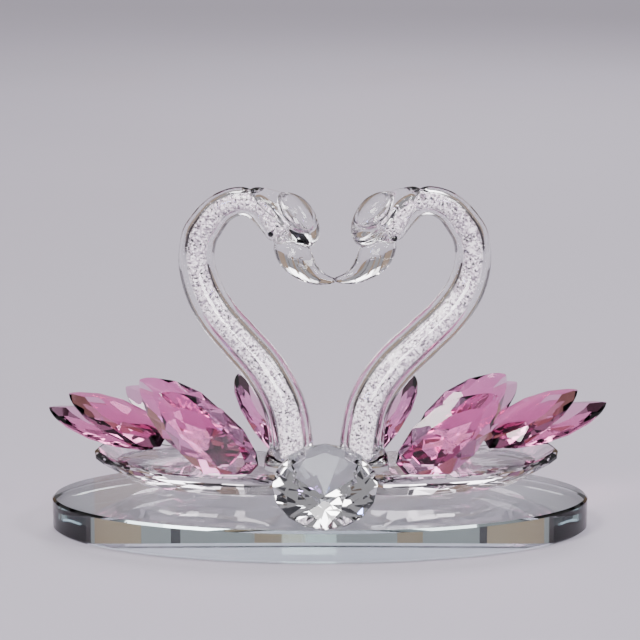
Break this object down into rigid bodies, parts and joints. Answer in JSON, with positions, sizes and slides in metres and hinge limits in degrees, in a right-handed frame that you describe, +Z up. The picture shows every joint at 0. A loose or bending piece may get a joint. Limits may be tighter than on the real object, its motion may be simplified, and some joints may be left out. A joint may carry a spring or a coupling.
{
  "type": "crystal swan figurine",
  "caption": "Clear crystal swans on an oval glass slab, necks bent into a heart, wings of pink faceted petals, and a cut crystal diamond lying in front.",
  "frame": {"origin": "centre of the slab's flat underside", "axes": "+Z up, +X towards the right swan along the slab's long axis, the diamond on the -Y side"},
  "size_m": [0.2142, 0.1, 0.1279],
  "materials": {
    "base_glass": "polished clear glass",
    "clear_crystal": "faceted and polished",
    "neck_glass": "lampworked clear glass filled with crushed crystal",
    "pink_crystal": "faceted and polished",
    "black_bead": "gloss"
  },
  "bodies": {
    "root": {"base_slab": "base_glass", "diamond": "clear_crystal", "left_body": "clear_crystal", "left_neck_and_head": "neck_glass", "left_eye_near": "black_bead", "left_eye_far": "black_bead", "left_petal_front": "pink_crystal", "left_petal_upper": "pink_crystal", "left_petal_rear": "pink_crystal", "left_petal_tail": "pink_crystal", "left_petal_outer": "pink_crystal", "left_petal_back": "pink_crystal", "right_body": "clear_crystal", "right_neck_and_head": "neck_glass", "right_eye_near": "black_bead", "right_eye_far": "black_bead", "right_petal_front": "pink_crystal", "right_petal_upper": "pink_crystal", "right_petal_rear": "pink_crystal", "right_petal_tail": "pink_crystal", "right_petal_outer": "pink_crystal", "right_petal_back": "pink_crystal"}
  },
  "joints": []
}
